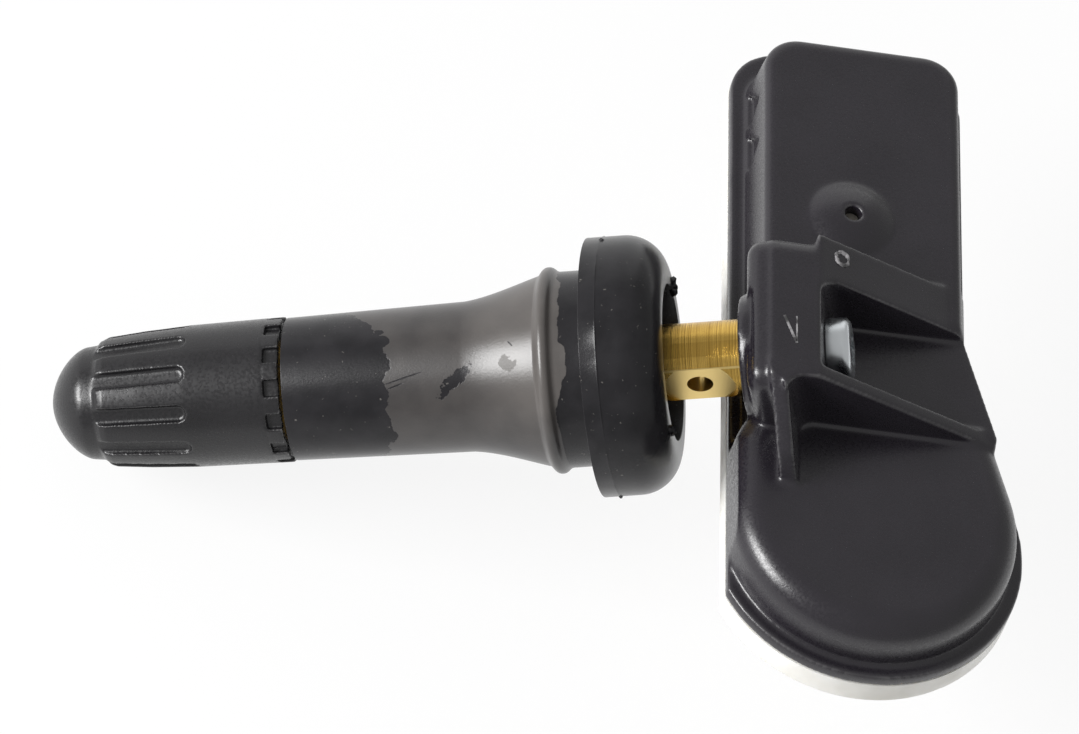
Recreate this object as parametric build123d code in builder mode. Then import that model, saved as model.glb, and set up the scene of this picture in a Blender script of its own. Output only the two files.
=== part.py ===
"""Tyre pressure sensor on a snap-in rubber valve.

The origin is on the valve axis at the rubber flange's sealing face. +X points from the valve towards
the sensor housing, +Y along the housing towards its small end, and +Z up from the housing's base.
The valve axis lies in the XZ plane and leans down towards the cap. Lengths are millimetres.
"""
import os
from math import acos, atan2, cos, radians, sin, sqrt, tan

from build123d import *

os.makedirs("parts", exist_ok=True)

# Valve axis and the point where the housing meets it
valve_lean = 20.0
stub_reach = 11.4
boss_height = 8.05
boss_inset = 0.2

# Housing plan, from the lobe's centre and the straight valve side
lobe_r = 12.25
lobe_offset = 10.7
lobe_drop = 12.2
end_reach = 45.0
narrow_width = 18.6
corner_r = 4.0
kink_reach = 16.4
ledge = 1.15
end_ledge = 2.2

# Housing heights above the underside of the base
cover_t = 2.4
flange_t = 1.15
floor_h = 8.0
box_h = 9.4
wall_h = 14.2

# Housing walls, roundings and draft
roof_t = 1.0
side_t = 1.1
root_t = 0.75
lobe_round = 2.2
box_round = 0.8
box_draft = 4.0
edge_round = 0.35
shoulder_reach = 5.3
shoulder_run = 3.6

# Bracket: wall, boss pad, ribs and fin
wall_face = 17.75
ridge_inset = 0.75
wall_north = 7.6
pad_south = 6.0
pad_top = 5.35
pad_face = 12.1
pad_l = 2.5
pad_round = 1.6
pad_edge_round = 1.2
boss_r = 4.65
boss_cone_l = 2.4
boss_cone_d = 10.4
wall_round = 1.6
upper_rib_south = 4.05
upper_rib_t = 3.95
lower_rib_north = 3.95
lower_rib_t = 1.3
rib_fall = 23.3
rib_bury = 0.25
rib_end_round = 1.4
inner_round = 1.3
fin_t = 1.3
fin_knee = 9.9
fin_drop = 4.3
fin_end = 11.2

# Pressure port and mould details of the small-end box
port_d = 1.3
port_reach = 25.5
port_across = 8.25
port_dome_r = 3.4
port_dome_h = 1.0
port_depth = 1.1
notch_l = 3.4
notch_h = 3.2
notch_lean = 1.0
notch_depth = 0.6
notch_pitch = 4.1
notch_reach = 32.6
notch_rise = 4.0

# Cover tray, circuit board and cell
tray_floor = 1.2
tray_rim = 2.1
cover_round = 0.5
board_t = 1.0
board_clearance = 0.15
cell_d = 20.0
cell_t = 3.2
cell_neg_d = 17.0
cell_neg_t = 0.3
cell_chamfer = 0.4
tab_t = 0.2
tab_w = 4.0
tab_foot = 1.8
positive_across = 4.0
negative_across = -3.0

# Components on the board
chip_w = 6.0
chip_t = 2.0
seal_d = 4.0
seal_clearance = 0.05
crystal_l = 3.2
crystal_w = 2.5
crystal_t = 0.8
crystal_reach = 19.5
crystal_across = 13.0
coil_l = 11.0
coil_w = 3.4
coil_t = 2.6
coil_waist = 0.5
coil_cheek = 1.2
coil_reach = 33.6
wire_d = 0.8
antenna_h = 4.6
antenna_gap = 1.75
antenna_bend = 1.6
antenna_reach = 38.6
chip_l = 1.6
small_chip_w = 0.8
small_chip_t = 0.6
small_chip_pitch = 1.6
small_chip_count = 5
small_chip_reach = 25.5
small_chip_across = 13.4

# Brass stem
thread_d = 7.7
tip_reach = 36.5
tip_chamfer = 0.6
sleeve_end = 23.5
stem_d = 7.0
stub_d = 5.85
stub_bury = 3.2
stub_chamfer = 0.3
stub_clearance = 0.05
flat_reach = 2.2
flat_l = 5.8
flat_w = 4.2
flat_middle = 8.0
cross_hole_d = 2.0
air_bore_d = 2.4
core_thread_d = 5.2
core_clearance = 0.03
core_bore_d = 4.2
core_seat_depth = 6.6
core_seat_l = 1.0
core_bore_depth = 19.0

# Screw
screw_d = 3.0
screw_head_d = 5.0
screw_head_t = 1.9
screw_head_round = 0.6
screw_grip = 3.6
screw_clearance = 0.15
head_clearance = 0.05
tap_clearance = 0.02
tap_spare = 0.4
drive_d = 2.7
drive_lobe_d = 0.75
drive_depth = 1.1

# Rubber body
flange_d = 20.0
flange_rear = 5.9
flange_round = 3.1
front_round = 0.4
neck_d = 15.0
neck_l = 2.2
ridge_d = 15.8
ridge_at = 3.1
flare_foot = 4.2
flare_foot_d = 14.4
flare_turn = 7.45
flare_turn_d = 12.45
flare_end = 9.75
flare_end_d = 11.5
sleeve_d = 10.95
recess_d = 12.0
recess_depth = 2.2

# Valve core
plug_below_tip = 1.0
plug_l = 4.4
plug_bore_d = 2.2
plug_slot_w = 1.4
plug_slot_depth = 1.8
barrel_d = 3.9
barrel_l = 6.7
barrel_neck_d = 3.0
barrel_neck_l = 2.8
barrel_bore_d = 2.9
barrel_end_t = 0.6
pin_d = 1.2
pin_below_tip = 0.6
pin_head_d = 1.8
pin_head_l = 0.6
pin_collar_t = 0.4
running_clearance = 0.06
cup_d = 3.6
cup_t = 1.6
gasket_d = 5.0
spring_wire = 0.35
spring_turns = 5

# Cap
cap_gap = 0.25
cap_rim_d = 11.15
cap_waist = 31.1
cap_waist_d = 10.9
cap_taper = 34.8
cap_taper_d = 10.48
cap_shoulder = 37.6
cap_shoulder_d = 10.02
cap_step = 38.7
dome_r = 4.7
cap_tip = 42.25
cap_bore_clearance = 0.08
cap_core_d = 4.6
cap_roof = 1.9
seal_t = 1.2
seal_bore_d = 3.4
castle_count = 13
castle_l = 1.15
castle_w = 1.3
castle_depth = 0.45
castle_turn = 1.5
flute_count = 11
flute_w = 1.3
flute_end = 31.0
flute_floor = 5.05
flute_floor_end = 4.42
flute_turn = 8.6

# Placing worked out from the driving sizes
lean = radians(valve_lean)
boss_x = stub_reach * cos(lean)
boss_z = stub_reach * sin(lean)
side_x = boss_x - boss_inset
base_z = boss_z - boss_height
lobe_x = side_x + lobe_offset
lobe_y = -lobe_drop
body_r = lobe_r - ledge
flange_z = base_z + cover_t
ledge_z = flange_z + flange_t
floor_z = base_z + floor_h
box_z = base_z + box_h
wall_z = base_z + wall_h
rib_middle = -(lower_rib_north + lower_rib_t / 2)
port_x = side_x + port_across
port_y = lobe_y + port_reach
dome_bend = (port_dome_r**2 + port_dome_h**2) / (2 * port_dome_h)
stub_end = stub_reach + stub_bury
root_x = stub_end * cos(lean) + stub_d / 2 * sin(lean) + root_t
board_z = base_z + tray_floor
board_top = board_z + board_t
cell_z = board_top + tab_t
cell_top = cell_z + cell_t
cavity_inset = ledge + side_t
cavity_r = lobe_r - tray_rim
antenna_span = narrow_width - 2 * (cavity_inset + antenna_gap)
plug_top = tip_reach - plug_below_tip
plug_end = plug_top - plug_l
barrel_shoulder = plug_end - barrel_neck_l
barrel_end = barrel_shoulder - barrel_l
seat_top = tip_reach - core_seat_depth
seat_end = seat_top - core_seat_l
pin_top = tip_reach - pin_below_tip
cup_top = barrel_end - running_clearance
seal_end = tip_reach + running_clearance + seal_t
cap_rim = sleeve_end + cap_gap
cap_bore_end = seal_end + running_clearance
cap_bore_r = thread_d / 2 + cap_bore_clearance
screw_end = stub_end - screw_grip


def across_valve(reach):
    """Plane across the valve axis, reach from the sealing face towards the cap, facing the cap."""
    return Plane(
        origin=(-reach * cos(lean), 0, -reach * sin(lean)),
        x_dir=(0, -1, 0),
        z_dir=(-cos(lean), 0, -sin(lean)),
    )


def along_valve():
    """Plane through the valve axis for turned profiles: local x is the reach, local y the radius."""
    return Plane(origin=(0, 0, 0), x_dir=(-cos(lean), 0, -sin(lean)), z_dir=(0, -1, 0))


def over_valve():
    """Plane along the valve axis, seen from above: local x runs to the housing, local y is Y."""
    return Plane(origin=(0, 0, 0), x_dir=(cos(lean), 0, sin(lean)), z_dir=(-sin(lean), 0, cos(lean)))


def upright(y):
    """Plane across the housing at y: local x is X, local y is Z, facing -Y."""
    return Plane(origin=(0, y, 0), x_dir=(1, 0, 0), z_dir=(0, -1, 0))


def flute_plane(turn):
    """Plane on the floor of one cap flute, turned round the valve axis: local x runs to the nose."""
    out = Vector(0, -1, 0) * cos(radians(turn)) + Vector(-sin(lean), 0, cos(lean)) * sin(radians(turn))
    along = Vector(-cos(lean), 0, -sin(lean))
    slope = (flute_floor_end - flute_floor) / (cap_step - flute_end)
    return Plane(
        origin=along * flute_end + out * flute_floor,
        x_dir=along + out * slope,
        z_dir=out - along * slope,
    )


def wall_x(reach, z):
    """X of the plane across the valve axis at reach behind the sealing face, at height z."""
    return (reach - z * sin(lean)) / cos(lean)


def rise_of(x, z):
    """Height across the valve axis of a point at x and z."""
    return z * cos(lean) - x * sin(lean)


def housing_plan(inset, end_inset):
    """Plan of the housing, drawn inset from the weld flange's edge."""
    r = lobe_r - inset
    left = side_x + inset
    right = side_x + narrow_width - inset
    top = lobe_y + end_reach - end_inset
    kink_x = right - lobe_x
    bearing = atan2(kink_reach, kink_x) - acos(r / sqrt(kink_x**2 + kink_reach**2))
    touch = (lobe_x + r * cos(bearing), lobe_y + r * sin(bearing))
    meet = (left, lobe_y - sqrt(r**2 - (lobe_x - left) ** 2))
    with BuildSketch(Plane.XY, mode=Mode.PRIVATE) as plan:
        with BuildLine():
            Polyline(touch, (right, lobe_y + kink_reach), (right, top), (left, top), meet)
            ThreePointArc(meet, (lobe_x, lobe_y - r), touch)
        make_face()
        fillet(plan.vertices().group_by(Axis.Y)[-1], corner_r - inset)
    return plan.sketch


def keep_south(y):
    """Cut the open sketch so that only what lies south of y stays."""
    with Locations((lobe_x, y)):
        Rectangle(4 * lobe_r, 2 * end_reach, align=(Align.CENTER, Align.MIN), mode=Mode.SUBTRACT)


def keep_north(y):
    """Cut the open sketch so that only what lies north of y stays."""
    with Locations((lobe_x, y)):
        Rectangle(4 * lobe_r, 2 * end_reach, align=(Align.CENTER, Align.MAX), mode=Mode.SUBTRACT)


def board_plan(clearance):
    """Plan of the room for the board and the cell, which leaves the root of the boss solid."""
    with BuildSketch(Plane.XY, mode=Mode.PRIVATE) as plan:
        add(housing_plan(cavity_inset + clearance, end_ledge + side_t + clearance))
        with Locations((lobe_x, lobe_y)):
            Circle(cavity_r - clearance)
        with Locations((side_x, 0)):
            Rectangle(
                2 * (root_x - side_x + clearance),
                stub_d + 2 * (root_t + clearance),
                mode=Mode.SUBTRACT,
            )
    return plan.sketch


valve_axis = Axis((0, 0, 0), (-cos(lean), 0, -sin(lean)))

# Domed lobe over the cell, cut flush with the housing's straight side
with BuildPart() as lobe:
    with BuildSketch(Plane.XY.offset(ledge_z)):
        with Locations((lobe_x, lobe_y)):
            Circle(body_r)
        with BuildLine():
            Polyline(
                (lobe_x - body_r, lobe_y),
                (lobe_x - body_r, lobe_y + shoulder_reach),
                (side_x + ledge, lobe_y + shoulder_reach + shoulder_run),
                (lobe_x, lobe_y + shoulder_reach + shoulder_run),
                (lobe_x, lobe_y),
                close=True,
            )
        make_face()
        add(housing_plan(ledge, end_ledge))
        keep_south(rib_middle)
    extrude(amount=floor_z - ledge_z)
    rim = lobe.faces().sort_by(Axis.Z)[-1].edges()
    fillet([edge for edge in rim if edge.center().Y < rib_middle - edge_round], lobe_round)
    split(bisect_by=Plane.YZ.offset(side_x), keep=Keep.TOP)

# Box of the small end, with draft, a rounded top and the raised dome of the pressure port
with BuildPart() as box:
    with BuildSketch(Plane.XY.offset(ledge_z)):
        with Locations((side_x + ledge, upper_rib_south)):
            Rectangle(
                narrow_width - 2 * ledge,
                lobe_y + end_reach - end_ledge - upper_rib_south,
                align=(Align.MIN, Align.MIN),
            )
    extrude(amount=box_z - ledge_z, taper=box_draft)
    fillet(box.edges().group_by(Axis.Z)[1].group_by(Axis.Y)[-1], corner_r - ledge)
    rim = box.faces().sort_by(Axis.Z)[-1].edges()
    fillet([edge for edge in rim if edge.center().Y > upper_rib_south + upper_rib_t], box_round)
    with BuildSketch(upright(port_y)):
        with BuildLine():
            dome = RadiusArc((port_x + port_dome_r, box_z), (port_x, box_z + port_dome_h), -dome_bend)
            Polyline(dome @ 1, (port_x, box_z - roof_t), (port_x + port_dome_r, box_z - roof_t), dome @ 0)
        make_face()
    revolve(axis=Axis((port_x, port_y, 0), (0, 0, 1)))

# Low floor between the ribs, where a driver reaches the screw
with BuildPart() as floor:
    with BuildSketch(Plane.XY.offset(ledge_z)):
        add(housing_plan(ledge, end_ledge))
        keep_north(rib_middle)
        keep_south(upper_rib_south + upper_rib_t)
    extrude(amount=floor_z - ledge_z)

# Bracket wall: upright outside, square to the valve axis inside
with BuildPart() as bracket:
    with BuildSketch(upright(wall_north)):
        with BuildLine():
            Polyline(
                (side_x + ridge_inset, wall_z),
                (wall_x(wall_face, wall_z), wall_z),
                (wall_x(wall_face, floor_z), floor_z),
                (wall_x(wall_face, floor_z), ledge_z),
                (side_x + ledge, ledge_z),
                close=True,
            )
        make_face()
    extrude(amount=wall_north + lower_rib_north + lower_rib_t)
    top_edges = bracket.faces().sort_by(Axis.Z)[-1].edges()
    fillet(top_edges.sort_by(Axis.Y)[-1], wall_round)
    fillet(bracket.faces().sort_by(Axis.Z)[-1].edges().filter_by(Axis.Y).sort_by(Axis.X)[0], edge_round)

# Thin fin that carries the wall on over the lobe
fin_face = (side_x + ridge_inset) * cos(lean) + wall_z * sin(lean)
fin_top = rise_of(side_x + ridge_inset, wall_z)
fin_floor = rise_of(wall_x(fin_face, floor_z), floor_z)
with BuildPart() as fin:
    with BuildSketch(across_valve(-fin_face)):
        with BuildLine():
            Polyline(
                (lower_rib_north, fin_top),
                (lower_rib_north + lower_rib_t, fin_top),
                (fin_knee, fin_top - fin_drop),
                (fin_end, fin_floor - fin_t * tan(lean)),
                (fin_end, fin_floor - roof_t),
                (lower_rib_north, fin_floor - roof_t),
                close=True,
            )
        make_face()
    extrude(amount=-fin_t)
    fillet(fin.edges().filter_by(valve_axis).sort_by(Axis.Y)[2], rib_end_round)
    split(bisect_by=Plane.XY.offset(wall_z), keep=Keep.BOTTOM)

# Thick rib beside the box, falling from the wall to the far side
rib_x = wall_x(wall_face, wall_z) - rib_bury
with BuildPart() as upper_rib:
    with BuildSketch(upright(upper_rib_south + upper_rib_t)):
        with BuildLine():
            far_x = side_x + narrow_width - ledge
            fall = (far_x - rib_x - rib_bury) * tan(radians(rib_fall))
            Polyline(
                (rib_x, wall_z),
                (rib_x + rib_bury, wall_z),
                (far_x, wall_z - fall),
                (far_x, ledge_z),
                (rib_x, ledge_z),
                close=True,
            )
        make_face()
    extrude(amount=upper_rib_t)
    crest = upper_rib.edges().filter_by(Axis.Y).group_by(Axis.X)[-1].sort_by(Axis.Z)[-1]
    fillet(crest, rib_end_round)

# Thin rib on the lobe side, falling into the floor
with BuildPart() as lower_rib:
    with BuildSketch(upright(-lower_rib_north)):
        with BuildLine():
            run = (wall_h - floor_h + edge_round) / tan(radians(rib_fall))
            Polyline(
                (rib_x, wall_z),
                (rib_x + rib_bury, wall_z),
                (rib_x + rib_bury + run, floor_z - edge_round),
                (rib_x + rib_bury + run, floor_z - roof_t),
                (rib_x, floor_z - roof_t),
                close=True,
            )
        make_face()
    extrude(amount=lower_rib_t)
    with BuildSketch(Plane.XY.offset(ledge_z)):
        add(housing_plan(ledge, end_ledge))
    extrude(amount=wall_z - ledge_z, mode=Mode.INTERSECT)

# Rounded inner corners where the thick rib meets the wall and the thin rib meets the fin
fin_back = fin_face + fin_t
lower_rib_south = -lower_rib_north - lower_rib_t
with BuildPart() as corners:
    with BuildSketch(upright(upper_rib_south + rib_bury)):
        with BuildLine():
            Polyline(
                (side_x + ledge, wall_z),
                (rib_x + rib_bury, wall_z),
                (far_x, wall_z - fall),
                (far_x, floor_z - edge_round),
                (side_x + ledge, floor_z - edge_round),
                close=True,
            )
        make_face()
    extrude(amount=upper_rib_south + rib_bury + inner_round - lower_rib_south)
    with BuildSketch(over_valve()):
        with Locations(
            (wall_face - rib_bury, upper_rib_south + rib_bury),
            (fin_back - rib_bury, lower_rib_south + rib_bury),
        ):
            Rectangle(inner_round + rib_bury, inner_round + rib_bury, align=(Align.MIN, Align.MAX))
        with Locations(
            (wall_face + inner_round, upper_rib_south - inner_round),
            (fin_back + inner_round, lower_rib_south - inner_round),
        ):
            Circle(inner_round, mode=Mode.SUBTRACT)
    extrude(amount=wall_h, both=True, mode=Mode.INTERSECT)

# Pad square to the valve axis, and the round boss that the brass stub seats in
with BuildPart() as boss:
    with BuildSketch(across_valve(-pad_face)):
        with Locations((-wall_north, pad_top)):
            RectangleRounded(
                wall_north + pad_south,
                2 * pad_top,
                pad_round,
                align=(Align.MIN, Align.MAX),
            )
    extrude(amount=-pad_l)
    fillet(boss.faces().sort_by(valve_axis)[-1].edges(), pad_edge_round)
    with BuildSketch(along_valve()):
        with BuildLine():
            Polyline(
                (-stub_reach, 0),
                (-stub_reach, boss_r),
                (-stub_reach - boss_cone_l, boss_cone_d / 2),
                (-stub_reach - boss_cone_l, 0),
                close=True,
            )
        make_face()
    revolve(axis=valve_axis)

# Housing moulding: the shapes above on one weld flange, hollow inside
with BuildPart() as housing:
    with BuildSketch(Plane.XY.offset(flange_z)):
        add(housing_plan(0, 0))
    extrude(amount=flange_t)
    add(lobe.part)
    add(box.part)
    add(floor.part)
    add(bracket.part)
    add(fin.part)
    add(upper_rib.part)
    add(lower_rib.part)
    add(corners.part)
    add(boss.part)
    with BuildSketch(Plane.XY.offset(flange_z)):
        add(board_plan(0))
    extrude(amount=floor_z - roof_t - flange_z, mode=Mode.SUBTRACT)
    with BuildSketch(Plane.XY.offset(flange_z)):
        add(housing_plan(cavity_inset, end_ledge + side_t))
        keep_north(upper_rib_south + upper_rib_t)
    extrude(amount=box_z - roof_t - flange_z, mode=Mode.SUBTRACT)
    with BuildSketch(across_valve(-stub_end - stub_clearance)):
        Circle(stub_d / 2 + stub_clearance)
    extrude(amount=stub_bury + pad_l, mode=Mode.SUBTRACT)
    with BuildSketch(across_valve(-wall_face)):
        Circle(screw_head_d / 2 + head_clearance)
    extrude(amount=-screw_head_t, mode=Mode.SUBTRACT)
    with BuildSketch(across_valve(-stub_reach)):
        Circle(screw_d / 2 + screw_clearance)
    extrude(amount=-(wall_face - stub_reach), mode=Mode.SUBTRACT)
    with BuildSketch(Plane.XY.offset(box_z + port_dome_h)):
        with Locations((port_x, port_y)):
            Circle(port_d / 2)
    extrude(amount=-port_dome_h - roof_t, mode=Mode.SUBTRACT)
    notch_y = lobe_y + notch_reach
    notch_z = base_z + notch_rise
    with BuildSketch(Plane.YZ.offset(side_x + ledge)):
        with Locations((notch_y, notch_z), (notch_y + notch_pitch, notch_z)):
            Polygon(
                (0, 0),
                (notch_l, 0),
                (notch_lean, notch_h),
                align=None,
            )
    extrude(amount=notch_depth, mode=Mode.SUBTRACT)
housing.part.label = "housing"

# Welded base cover, a shallow tray
with BuildPart() as base_cover:
    with BuildSketch(Plane.XY.offset(base_z)):
        add(housing_plan(0, 0))
    extrude(amount=cover_t)
    fillet(base_cover.faces().sort_by(Axis.Z)[0].edges(), cover_round)
    with BuildSketch(Plane.XY.offset(board_z)):
        add(board_plan(0))
    extrude(amount=cover_t - tray_floor, mode=Mode.SUBTRACT)
base_cover.part.label = "base_cover"

# Circuit board on the tray floor
with BuildPart() as circuit_board:
    with BuildSketch(Plane.XY.offset(board_z)):
        add(board_plan(board_clearance))
    extrude(amount=board_t)
circuit_board.part.label = "circuit_board"

# Lithium coin cell under the lobe, its smaller negative face down
with BuildPart() as battery_cell:
    with BuildSketch(Plane.XY.offset(cell_z)):
        with Locations((lobe_x, lobe_y)):
            Circle(cell_neg_d / 2)
    extrude(amount=cell_neg_t)
    with BuildSketch(Plane.XY.offset(cell_z + cell_neg_t)):
        with Locations((lobe_x, lobe_y)):
            Circle(cell_d / 2)
    extrude(amount=cell_t - cell_neg_t)
    chamfer(battery_cell.faces().sort_by(Axis.Z)[-1].edges(), cell_chamfer)
battery_cell.part.label = "battery_cell"

# Welded tab from the top of the cell down to the board
with BuildPart() as positive_tab:
    with BuildSketch(Plane.YZ.offset(lobe_x + positive_across - tab_w / 2)):
        with BuildLine():
            tab_out = lobe_y + cell_d / 2 + tab_t
            Polyline(
                (lobe_y, cell_top),
                (tab_out, cell_top),
                (tab_out, board_top),
                (tab_out + tab_foot, board_top),
                (tab_out + tab_foot, board_top + tab_t),
                (tab_out + tab_t, board_top + tab_t),
                (tab_out + tab_t, cell_top + tab_t),
                (lobe_y, cell_top + tab_t),
                close=True,
            )
        make_face()
    extrude(amount=tab_w)
positive_tab.part.label = "positive_tab"

# Flat tab between the cell and the board
with BuildPart() as negative_tab:
    with BuildSketch(Plane.XY.offset(board_top)):
        with Locations((lobe_x + negative_across, lobe_y)):
            Rectangle(tab_w, cell_d / 2 + tab_foot, align=(Align.CENTER, Align.MIN))
    extrude(amount=tab_t)
negative_tab.part.label = "negative_tab"

# Sensor chip under the pressure port
with BuildPart() as sensor_chip:
    with BuildSketch(Plane.XY.offset(board_top)):
        with Locations((port_x, port_y)):
            Rectangle(chip_w, chip_w)
    extrude(amount=chip_t)
    chamfer(sensor_chip.faces().sort_by(Axis.Z)[-1].edges(), tab_t)
sensor_chip.part.label = "sensor_chip"

# Soft seal from the chip up into the pressure port
with BuildPart() as port_seal:
    with BuildSketch(Plane.XY.offset(board_top + chip_t)):
        with Locations((port_x, port_y)):
            Circle(seal_d / 2)
    extrude(amount=box_z - roof_t - board_top - chip_t)
    with BuildSketch(Plane.XY.offset(box_z - roof_t)):
        with Locations((port_x, port_y)):
            Circle(port_d / 2 - seal_clearance)
    extrude(amount=roof_t + port_dome_h - port_depth)
port_seal.part.label = "port_seal"

# Crystal in its low metal can
with BuildPart() as crystal:
    with BuildSketch(Plane.XY.offset(board_top)):
        with Locations((side_x + crystal_across, lobe_y + crystal_reach)):
            Rectangle(crystal_l, crystal_w)
    extrude(amount=crystal_t)
    fillet(crystal.edges().filter_by(Axis.Z), edge_round)
crystal.part.label = "crystal"

# Wake-up coil wound between two cheeks
with BuildPart() as lf_coil:
    with BuildSketch(Plane.XY.offset(board_top)):
        with Locations((port_x, lobe_y + coil_reach)):
            Rectangle(coil_l, coil_w)
    extrude(amount=coil_t)
    with BuildSketch(Plane.XY.offset(board_top)):
        with Locations((port_x, lobe_y + coil_reach)):
            Rectangle(coil_l - 2 * coil_cheek, coil_w)
            Rectangle(coil_l - 2 * coil_cheek, coil_w - 2 * coil_waist, mode=Mode.SUBTRACT)
    extrude(amount=coil_t, mode=Mode.SUBTRACT)
    with BuildSketch(Plane.XY.offset(board_top + coil_t - coil_waist)):
        with Locations((port_x, lobe_y + coil_reach)):
            Rectangle(coil_l - 2 * coil_cheek, coil_w)
    extrude(amount=coil_waist, mode=Mode.SUBTRACT)
lf_coil.part.label = "lf_coil"

# Aerial bent from square wire, standing on the board
with BuildPart() as antenna_loop:
    with BuildLine(upright(lobe_y + antenna_reach)) as aerial:
        Polyline(
            (port_x - antenna_span / 2, board_top),
            (port_x - antenna_span / 2, board_top + antenna_h),
            (port_x + antenna_span / 2, board_top + antenna_h),
            (port_x + antenna_span / 2, board_top),
        )
        fillet(aerial.vertices().group_by(Axis.Z)[-1], antenna_bend)
    with BuildSketch(Plane.XY.offset(board_top)):
        with Locations((port_x - antenna_span / 2, lobe_y + antenna_reach)):
            Rectangle(wire_d, wire_d)
    sweep()
antenna_loop.part.label = "antenna_loop"

# Row of small chip parts beside the sensor chip
with BuildPart() as chip_parts:
    with BuildSketch(Plane.XY.offset(board_top)):
        with Locations((side_x + small_chip_across, lobe_y + small_chip_reach)):
            with GridLocations(0, small_chip_pitch, 1, small_chip_count):
                Rectangle(chip_l, small_chip_w)
    extrude(amount=small_chip_t)
chip_parts.part.label = "chip_parts"

# Brass stem: threaded nose, plain shank, and the stub with its air hole and spanner flats
with BuildPart() as brass_stem:
    with BuildSketch(along_valve()):
        with BuildLine():
            Polyline(
                (tip_reach, core_thread_d / 2 + core_clearance),
                (tip_reach, thread_d / 2 - tip_chamfer),
                (tip_reach - tip_chamfer, thread_d / 2),
                (sleeve_end, thread_d / 2),
                (sleeve_end, stem_d / 2),
                (recess_depth - flange_rear, stem_d / 2),
                (recess_depth - flange_rear, stub_d / 2),
                (stub_chamfer - stub_end, stub_d / 2),
                (-stub_end, stub_d / 2 - stub_chamfer),
                (-stub_end, screw_d / 2 + tap_clearance),
                (-screw_end + tap_spare, screw_d / 2 + tap_clearance),
                (-screw_end + tap_spare, 0),
                (-flat_middle - cross_hole_d / 2 - tap_spare, 0),
                (-flat_middle - cross_hole_d / 2 - tap_spare, air_bore_d / 2),
                (tip_reach - core_bore_depth - core_seat_l, air_bore_d / 2),
                (tip_reach - core_bore_depth, core_bore_d / 2),
                (seat_end, core_bore_d / 2),
                (seat_top, core_thread_d / 2 + core_clearance),
                close=True,
            )
        make_face()
    revolve(axis=valve_axis)
    with BuildSketch(along_valve().offset(flat_reach)):
        with Locations((-flat_middle, 0)):
            SlotOverall(flat_l, flat_w)
    extrude(amount=stub_d, mode=Mode.SUBTRACT)
    with BuildSketch(along_valve().offset(-flat_reach)):
        with Locations((-flat_middle, 0)):
            SlotOverall(flat_l, flat_w)
    extrude(amount=-stub_d, mode=Mode.SUBTRACT)
    with BuildSketch(along_valve()):
        with Locations((-flat_middle, 0)):
            Circle(cross_hole_d / 2)
    extrude(amount=stub_d, both=True, mode=Mode.SUBTRACT)
brass_stem.part.label = "brass_stem"

# Screw that draws the stub into the boss, with a six-lobe drive
with BuildPart() as sensor_screw:
    with BuildSketch(along_valve()):
        with BuildLine():
            Polyline(
                (-screw_end, 0),
                (-screw_end, screw_d / 2 - stub_chamfer),
                (-screw_end - stub_chamfer, screw_d / 2),
                (-wall_face, screw_d / 2),
                (-wall_face, screw_head_d / 2),
                (-wall_face - screw_head_t, screw_head_d / 2),
                (-wall_face - screw_head_t, 0),
                close=True,
            )
        make_face()
    revolve(axis=valve_axis)
    fillet(sensor_screw.edges().sort_by(valve_axis)[0], screw_head_round)
    with BuildSketch(across_valve(-wall_face - screw_head_t)):
        Circle(drive_d / 2 - drive_lobe_d / 2)
        with PolarLocations(drive_d / 2 - drive_lobe_d / 2, 6):
            Circle(drive_lobe_d / 2)
    extrude(amount=drive_depth, mode=Mode.SUBTRACT)
sensor_screw.part.label = "sensor_screw"

# Rubber body moulded on the stem: sleeve, flare, snap-in ridge and sealing flange
with BuildPart() as rubber_body:
    with BuildSketch(along_valve()):
        with BuildLine():
            rear = RadiusArc(
                (flange_round - flange_rear, flange_d / 2),
                (-flange_rear, flange_d / 2 - flange_round),
                -flange_round,
            )
            flare = ThreePointArc(
                (flare_end, flare_end_d / 2),
                (flare_turn, flare_turn_d / 2),
                (flare_foot, flare_foot_d / 2),
            )
            ridge = ThreePointArc(
                flare @ 1,
                (ridge_at, ridge_d / 2),
                (neck_l, neck_d / 2),
            )
            Polyline(
                rear @ 1,
                (-flange_rear, recess_d / 2),
                (recess_depth - flange_rear, recess_d / 2),
                (recess_depth - flange_rear, stem_d / 2),
                (sleeve_end, stem_d / 2),
                (sleeve_end, sleeve_d / 2),
                flare @ 0,
            )
            Polyline(
                ridge @ 1,
                (0, neck_d / 2),
                (0, flange_d / 2 - front_round),
                (-front_round, flange_d / 2),
                rear @ 0,
            )
        make_face()
    revolve(axis=valve_axis)
rubber_body.part.label = "rubber_body"

# Threaded plug of the valve core, slotted for its key
with BuildPart() as core_plug:
    with BuildSketch(across_valve(plug_end)):
        Circle(core_thread_d / 2)
        Circle(plug_bore_d / 2, mode=Mode.SUBTRACT)
    extrude(amount=plug_l)
    with BuildSketch(across_valve(plug_top)):
        Rectangle(core_thread_d, plug_slot_w)
    extrude(amount=-plug_slot_depth, mode=Mode.SUBTRACT)
core_plug.part.label = "core_plug"

# Barrel of the valve core, hollow for the spring and necked for the gasket
with BuildPart() as core_barrel:
    with BuildSketch(along_valve()):
        with BuildLine():
            pin_way = pin_d / 2 + running_clearance
            Polyline(
                (plug_end, pin_way),
                (plug_end, barrel_neck_d / 2),
                (barrel_shoulder, barrel_neck_d / 2),
                (barrel_shoulder, barrel_d / 2),
                (barrel_end, barrel_d / 2),
                (barrel_end, pin_way),
                (barrel_end + barrel_end_t, pin_way),
                (barrel_end + barrel_end_t, barrel_bore_d / 2),
                (barrel_shoulder - barrel_end_t, barrel_bore_d / 2),
                (barrel_shoulder - barrel_end_t, pin_way),
                close=True,
            )
        make_face()
    revolve(axis=valve_axis)
core_barrel.part.label = "core_barrel"

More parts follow.
